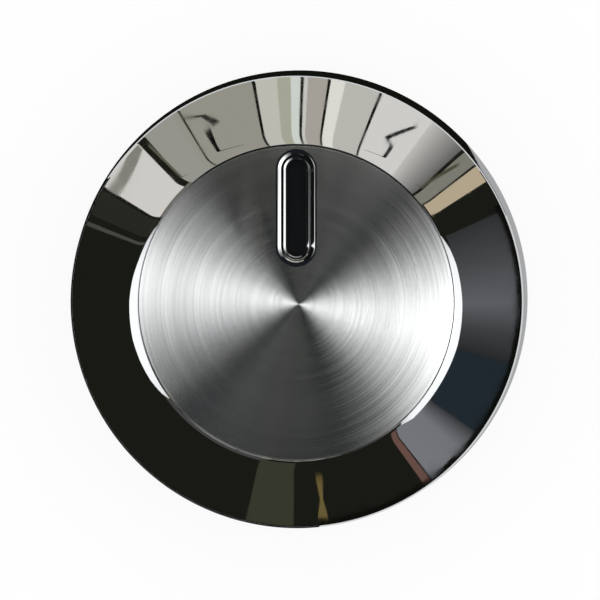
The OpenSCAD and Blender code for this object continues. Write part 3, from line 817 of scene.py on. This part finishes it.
core_low, core_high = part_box("hub_core")
CORE_GAP = 0.3 * MM
RING_WALL = 1.4 * MM
CORE_FILLET = 0.6 * MM
CORE_EDGE = 0.3 * MM
FLANGE_T = 2 * MM
BOSS_R = 6.5 * MM
MOUTH_Z = 1 * MM
MOUTH_CHAMFER = 0.5 * MM
RIB_T = 1.2 * MM
RIB_DRAFT = 0.15 * MM
RIB_RISE = 3 * MM
RIB_ROOT = 6.5 * MM
GUSSET_T = 1 * MM
GUSSET_REACH = 3.2 * MM
LEAD_R = 4.3 * MM
LEAD_Z = MOUTH_Z + MOUTH_CHAMFER
SOCKET_R = 4.05 * MM
SOCKET_FLAT_Y = 2.55 * MM
SOCKET_Z = 4 * MM
SOCKET_TOP = 14.7 * MM
SLOT_W = 1 * MM
SLOT_TOP = 6 * MM
LEAF_W = 4.8 * MM
LEAF_Z = 4.4 * MM
LEAF_L = 7.5 * MM
LEAF_POCKET = 0.8 * MM
FIT_GAP = 0.05 * MM
GROOVE_Z = 2.6 * MM
GROOVE_R = 5.8 * MM
RING_W = 1.8 * MM
FLANGE_HOLE_R = 1.7 * MM
CORE_STEPS = 144


def glass_filled_nylon():
    """Black nylon with short glass fibres, from a spark-eroded mould: matt, mottled and fine-grained."""
    grain_mm = 0.12
    fibre_mm = 0.35
    mottle_mm = 2.5
    material, tree = empty_material("black_glass_filled_nylon")
    where = add_node(tree, "ShaderNodeTexCoord").outputs["Object"]
    grain = add_node(tree, "ShaderNodeTexNoise", {"Vector": where, "Scale": 1 / (grain_mm * MM),
                                                  "Detail": 4.0})
    fibres = add_node(tree, "ShaderNodeTexVoronoi", {"Vector": where, "Scale": 1 / (fibre_mm * MM)})
    mottle = add_node(tree, "ShaderNodeTexNoise", {"Vector": where, "Scale": 1 / (mottle_mm * MM),
                                                   "Detail": 3.0})
    shade = add_node(tree, "ShaderNodeMix", {0: mottle.outputs["Fac"], 6: linear("#17181A"),
                                             7: linear("#26282B")}, data_type="RGBA")
    gloss = add_node(tree, "ShaderNodeMapRange", {"Value": fibres.outputs["Distance"], "To Min": 0.42,
                                                  "To Max": 0.62})
    relief = add_node(tree, "ShaderNodeBump", {"Height": grain.outputs["Fac"], "Strength": 0.35,
                                               "Distance": 0.02 * MM})
    nylon = add_node(tree, "ShaderNodeBsdfPrincipled", {
        "Base Color": shade.outputs[2], "Roughness": gloss.outputs[0], "IOR": 1.53,
        "Normal": relief.outputs[0]})
    add_node(tree, "ShaderNodeOutputMaterial", {"Surface": nylon.outputs[0]})
    return material


def rib(name, outline, thick, thin):
    """An upright plate on +X from its (radius, height) outline, thinner at its lowest edge, as draft."""
    low = min(z for r, z in outline)
    high = max(z for r, z in outline)
    count = len(outline)
    points = [(r, side * (thin + (thick - thin) * (z - low) / (high - low)) / 2, z)
              for side in (-1, 1) for r, z in outline]
    faces = [(i, (i + 1) % count, count + (i + 1) % count, count + i) for i in range(count)]
    faces += [tuple(range(count))[::-1], tuple(range(count, 2 * count))]
    return outward(new_object(name, points, faces))


NYLON = glass_filled_nylon()
flange_back = flange_front - FLANGE_T
core_z = core_low.z
boss_top = core_high.z
ring_out = core_high.x
in_boss = BOSS_R - 1.25 * MM
edge_cut = 0.2 * MM
flange_out = inner_r(flange_front) - CORE_GAP
ring_in_top = inner_r(flange_back) - CORE_GAP - RING_WALL
core_section = (
    [(0, boss_top), (BOSS_R - edge_cut, boss_top), (BOSS_R, boss_top - edge_cut)]
    + arc((BOSS_R + CORE_FILLET, flange_front + CORE_FILLET), CORE_FILLET, pi, 1.5 * pi, 5)
    + [(flange_out - edge_cut, flange_front), (flange_out, flange_front - edge_cut)]
    + arc((ring_out - CORE_EDGE, core_z + CORE_EDGE), CORE_EDGE, 0, -pi / 2, 5)
    + arc((ring_out - RING_WALL + CORE_EDGE, core_z + CORE_EDGE), CORE_EDGE, -pi / 2, -pi, 5)
    + arc((ring_in_top - CORE_FILLET, flange_back - CORE_FILLET), CORE_FILLET, 0, pi / 2, 5)
    + arc((BOSS_R + CORE_FILLET, flange_back - CORE_FILLET), CORE_FILLET, pi / 2, pi, 5)
    + [(BOSS_R, MOUTH_Z + MOUTH_CHAMFER), (BOSS_R - MOUTH_CHAMFER, MOUTH_Z), (0, MOUTH_Z)])
core = turned("hub_core_moulded", core_section, NYLON, CORE_STEPS)
in_ring = inner_r(flange_back) - CORE_GAP - RING_WALL / 2
in_flange = flange_back + FLANGE_T / 2
ribs = rib("ribs", [(in_boss, RIB_ROOT), (BOSS_R + MM, RIB_ROOT), (in_ring, RIB_RISE),
                    (in_ring, in_flange), (in_boss, in_flange)], RIB_T, RIB_T - RIB_DRAFT)
carved(core, copied_round(ribs, 6, 0), "UNION")
gusset_top = boss_top - 0.4 * MM
gussets = rib("gussets", [(in_boss, in_flange), (BOSS_R + GUSSET_REACH, in_flange),
                          (BOSS_R + GUSSET_REACH, flange_front), (BOSS_R, gusset_top),
                          (in_boss, gusset_top)], GUSSET_T, GUSSET_T)
carved(core, copied_round(gussets, 6, pi / 6), "UNION")

# Cut from the boss: lead-in, D-shaped socket, leaf pocket, slots and the ring spring's groove
below = MOUTH_Z - FIT_GAP
carved(core, turned("lead_in", [(0, below), (LEAD_R + MOUTH_CHAMFER + FIT_GAP, below), (LEAD_R, LEAD_Z),
                                (LEAD_R, SOCKET_Z), (0, SOCKET_Z)], steps=96))
flat_angle = asin(SOCKET_FLAT_Y / SOCKET_R)
carved(core, prism("d_socket", arc((0, 0), SOCKET_R, pi - flat_angle, 2 * pi + flat_angle, 72),
                   SOCKET_Z - FIT_GAP, SOCKET_TOP))
carved(core, prism("leaf_pocket", oblong(LEAF_W / 2 + FIT_GAP, (SOCKET_FLAT_Y + LEAF_POCKET) / 2,
                                         (SOCKET_FLAT_Y + LEAF_POCKET) / 2),
                   LEAF_Z, LEAF_Z + LEAF_L + 2 * FIT_GAP))
carved(core, prism("slots", oblong(BOSS_R + MM, SLOT_W / 2), 0, SLOT_TOP))
groove_top = GROOVE_Z + RING_W + 2 * FIT_GAP
carved(core, turned("ring_groove", [(GROOVE_R, GROOVE_Z), (BOSS_R + MM, GROOVE_Z),
                                    (BOSS_R + MM, groove_top), (GROOVE_R, groove_top),
                                    (GROOVE_R, GROOVE_Z)], steps=CORE_STEPS))
flange_hole = turned("flange_hole", [(0, flange_back - MM), (FLANGE_HOLE_R, flange_back - MM),
                                     (FLANGE_HOLE_R, flange_front + MM), (0, flange_front + MM)], steps=40)
carved(core, copied_round(flange_hole, 3, SCREW_TURN, SCREW_CIRCLE_R))
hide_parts("hub_core")
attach(core, "root")

# Leaf spring and ring spring
# Tempered spring steel strip. The bowed leaf lies behind the socket's flat and presses on the
# shaft's; the split ring lies in the boss's groove and closes its two fingers.

LEAF_T = 0.35 * MM
LEAF_BITE = 0.1 * MM
LEAF_EDGE = 0.06 * MM
RING_T = 0.75 * MM
RING_EDGE = 0.12 * MM
RING_OPEN = radians(24)


def spring_steel(name, stretch):
    """Rolled and tempered strip: satin grey with fine mill lines along its length."""
    mill_mm = 0.07
    material, tree = empty_material(name)
    where = add_node(tree, "ShaderNodeTexCoord").outputs["Object"]
    drawn = add_node(tree, "ShaderNodeVectorMath", {0: where, 1: stretch}, operation="MULTIPLY")
    lines = add_node(tree, "ShaderNodeTexNoise", {"Vector": drawn.outputs[0], "Scale": 1 / (mill_mm * MM),
                                                  "Detail": 3.0})
    shade = add_node(tree, "ShaderNodeMix", {0: lines.outputs["Fac"], 6: linear("#8B8E93"),
                                             7: linear("#B2B3B4")}, data_type="RGBA")
    gloss = add_node(tree, "ShaderNodeMapRange", {"Value": lines.outputs["Fac"], "To Min": 0.24,
                                                  "To Max": 0.42})
    relief = add_node(tree, "ShaderNodeBump", {"Height": lines.outputs["Fac"], "Strength": 0.2,
                                               "Distance": 0.01 * MM})
    steel = add_node(tree, "ShaderNodeBsdfPrincipled", {
        "Base Color": shade.outputs[2], "Metallic": 1.0, "Roughness": gloss.outputs[0],
        "Normal": relief.outputs[0]})
    add_node(tree, "ShaderNodeOutputMaterial", {"Surface": steel.outputs[0]})
    return material


def strip_section(half_width, thick, edge):
    """Outline of a strip's section with rounded edges: (across, through) points."""
    corners = ((half_width - edge, edge, -pi / 2), (half_width - edge, thick - edge, 0),
               (edge - half_width, thick - edge, pi / 2), (edge - half_width, edge, pi))
    return [p for x, y, start in corners for p in arc((x, y), edge, start, start + pi / 2, 3)]


def skin(name, rings, finish=None):
    """Closed skin over rings of points, one after another, with a flat end on the first and the last."""
    count = len(rings[0])
    last = (len(rings) - 1) * count
    faces = [(a + j, a + (j + 1) % count, a + count + (j + 1) % count, a + count + j)
             for a in range(0, last, count) for j in range(count)]
    faces += [tuple(range(count))[::-1], tuple(range(last, last + count))]
    return outward(new_object(name, [p for ring in rings for p in ring], faces, finish))


leaf_crown_y = SOCKET_FLAT_Y - FIT_GAP - LEAF_BITE
leaf_bow = SOCKET_FLAT_Y + LEAF_POCKET - FIT_GAP - LEAF_T - leaf_crown_y
leaf_half = LEAF_L / 2
leaf_r = (leaf_half ** 2 + leaf_bow ** 2) / (2 * leaf_bow)
leaf_sweep = asin(leaf_half / leaf_r)
leaf_mid_z = LEAF_Z + FIT_GAP + leaf_half
leaf_rings = []
for share in [-1, -0.97, -0.9] + [i / 10 for i in range(-8, 9)] + [0.9, 0.97, 1]:
    a = leaf_sweep * share
    # The leaf's corners are cropped
    width = 0.88 if abs(share) == 1 else 0.97 if abs(share) == 0.97 else 1
    leaf_rings.append([(x * width, leaf_crown_y + leaf_r - (leaf_r - y) * cos(a),
                        leaf_mid_z + (leaf_r - y) * sin(a))
                       for x, y in strip_section(LEAF_W / 2, LEAF_T, LEAF_EDGE)])
leaf = skin("shaft_spring_leaf", leaf_rings, spring_steel("tempered_leaf_strip", (1, 1, 0.04)))
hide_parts("shaft_spring")
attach(leaf, "root")

ring_r = GROOVE_R + FIT_GAP
ring_mid_z = GROOVE_Z + FIT_GAP + RING_W / 2
ring_steps = 112
ring_rings = []
for i in range(ring_steps + 1):
    a = -pi / 2 + RING_OPEN / 2 + (2 * pi - RING_OPEN) * i / ring_steps
    ring_rings.append([((ring_r + y) * cos(a), (ring_r + y) * sin(a), ring_mid_z + x)
                       for x, y in strip_section(RING_W / 2, RING_T, RING_EDGE)])
ring = skin("boss_ring_spring", ring_rings, spring_steel("tempered_ring_strip", (0.04, 0.04, 1)))
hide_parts("boss_ring")
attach(ring, "root")

# Screws
# Three M3 pan-head screws of zinc-plated steel with a cross recess. They pass the flange from behind
# and cut into the shell's posts.

SCREW_R = 1.5 * MM
SCREW_L = 6.4 * MM
SCREW_TIP = 0.75 * MM
SCREW_PITCH = 0.5 * MM
THREAD_DEPTH = 0.26 * MM
HEAD_R = 2.75 * MM
HEAD_H = 2 * MM
RECESS_REACH = 1.3 * MM
RECESS_W = 0.66 * MM
RECESS_DEPTH = 1.1 * MM


def thread_tree():
    """Node tree that cuts a helical thread into a turned shank, between two heights."""
    tree, given = new_tree("thread", {"Shank": "Geometry", "Pitch": "Float", "Depth": "Float",
                                      "Low": "Float", "High": "Float", "Finish": "Material"})
    place = add_node(tree, "GeometryNodeInputPosition").outputs[0]
    parts = add_node(tree, "ShaderNodeSeparateXYZ", {0: place}).outputs
    angle = add_node(tree, "ShaderNodeMath", {0: parts[1], 1: parts[0]}, operation="ARCTAN2")
    angle = add_node(tree, "ShaderNodeMath", {0: angle.outputs[0], 1: 2 * pi}, operation="DIVIDE")
    turns = add_node(tree, "ShaderNodeMath", {0: parts[2], 1: given["Pitch"]}, operation="DIVIDE")
    turns = add_node(tree, "ShaderNodeMath", {0: turns.outputs[0], 1: angle.outputs[0]},
                     operation="SUBTRACT")
    wave = add_node(tree, "ShaderNodeMath", {0: turns.outputs[0], 1: 0.5}, operation="PINGPONG")
    above = add_node(tree, "ShaderNodeMath", {0: parts[2], 1: given["Low"]}, operation="GREATER_THAN")
    under = add_node(tree, "ShaderNodeMath", {0: parts[2], 1: given["High"]}, operation="LESS_THAN")
    cut = add_node(tree, "ShaderNodeMath", {0: above.outputs[0], 1: under.outputs[0]},
                   operation="MULTIPLY")
    cut = add_node(tree, "ShaderNodeMath", {0: cut.outputs[0], 1: wave.outputs[0]}, operation="MULTIPLY")
    # The wave runs from 0 to a half
    cut = add_node(tree, "ShaderNodeMath", {0: cut.outputs[0], 1: -2.0}, operation="MULTIPLY")
    cut = add_node(tree, "ShaderNodeMath", {0: cut.outputs[0], 1: given["Depth"]}, operation="MULTIPLY")
    flat = add_node(tree, "ShaderNodeVectorMath", {0: place, 1: (1, 1, 0)}, operation="MULTIPLY")
    outwards = add_node(tree, "ShaderNodeVectorMath", {0: flat.outputs[0]}, operation="NORMALIZE")
    push = add_node(tree, "ShaderNodeVectorMath", {0: outwards.outputs[0], "Scale": cut.outputs[0]},
                    operation="SCALE")
    moved = add_node(tree, "GeometryNodeSetPosition", {"Geometry": given["Shank"],
                                                       "Offset": push.outputs[0]})
    return end_tree(tree, moved.outputs[0], given["Finish"])


def zinc_plating():
    """Steel with clear-passivated zinc: bluish silver with faint warm patches, satin."""
    patch_mm = 1.2
    fine_mm = 0.15
    material, tree = empty_material("clear_zinc_on_steel")
    where = add_node(tree, "ShaderNodeTexCoord").outputs["Object"]
    patches = add_node(tree, "ShaderNodeTexNoise", {"Vector": where, "Scale": 1 / (patch_mm * MM),
                                                    "Detail": 3.0})
    fine = add_node(tree, "ShaderNodeTexNoise", {"Vector": where, "Scale": 1 / (fine_mm * MM),
                                                 "Detail": 2.0})
    shade = add_node(tree, "ShaderNodeMix", {0: patches.outputs["Fac"], 6: linear("#BFC6CE"),
                                             7: linear("#CFCBBB")}, data_type="RGBA")
    gloss = add_node(tree, "ShaderNodeMapRange", {"Value": fine.outputs["Fac"], "To Min": 0.22,
                                                  "To Max": 0.4})
    relief = add_node(tree, "ShaderNodeBump", {"Height": fine.outputs["Fac"], "Strength": 0.15,
                                               "Distance": 0.01 * MM})
    steel = add_node(tree, "ShaderNodeBsdfPrincipled", {
        "Base Color": shade.outputs[2], "Metallic": 1.0, "Roughness": gloss.outputs[0],
        "Normal": relief.outputs[0]})
    add_node(tree, "ShaderNodeOutputMaterial", {"Surface": steel.outputs[0]})
    return material


ZINC = zinc_plating()
tip_z = flange_back + SCREW_L
thread_rows = round((SCREW_L - SCREW_TIP - 0.1 * MM) / (SCREW_PITCH / 8))
shank_rows = [(SCREW_R, tip_z - SCREW_TIP - i * SCREW_PITCH / 8) for i in range(thread_rows)]
tip_rows = [(SCREW_R - SCREW_TIP * (1 - i / 8), tip_z - SCREW_TIP * i / 8) for i in range(8)]
head_section = arc((HEAD_R - HEAD_H / 2, flange_back - HEAD_H / 2), HEAD_H / 2, 0, -pi / 2, 8)
screw = turned("hub_screws_zinc", [(0, tip_z)] + tip_rows + shank_rows
               + [(SCREW_R, flange_back), (HEAD_R, flange_back)] + head_section
               + [(0, flange_back - HEAD_H)], ZINC, 48)
run_tree(screw, thread_tree(), Pitch=SCREW_PITCH, Depth=THREAD_DEPTH, Low=flange_back + SCREW_PITCH / 2,
         High=tip_z - SCREW_TIP / 2, Finish=ZINC)


def cross(reach, width, z):
    """Twelve corners of a cross at one height."""
    w = width / 2
    quarter = [(reach, -w), (reach, w), (w, w)]
    return [(x * cos(k * pi / 2) - y * sin(k * pi / 2), x * sin(k * pi / 2) + y * cos(k * pi / 2), z)
            for k in range(4) for x, y in quarter]


recess_z = flange_back - HEAD_H
carved(screw, skin("cross_recess", [cross(RECESS_REACH, RECESS_W, recess_z - FIT_GAP),
                                    cross(RECESS_REACH / 2, RECESS_W * 0.7, recess_z + RECESS_DEPTH)]))
copied_round(screw, 3, SCREW_TURN, SCREW_CIRCLE_R, ZINC)
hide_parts("hub_screws")
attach(screw, "root")
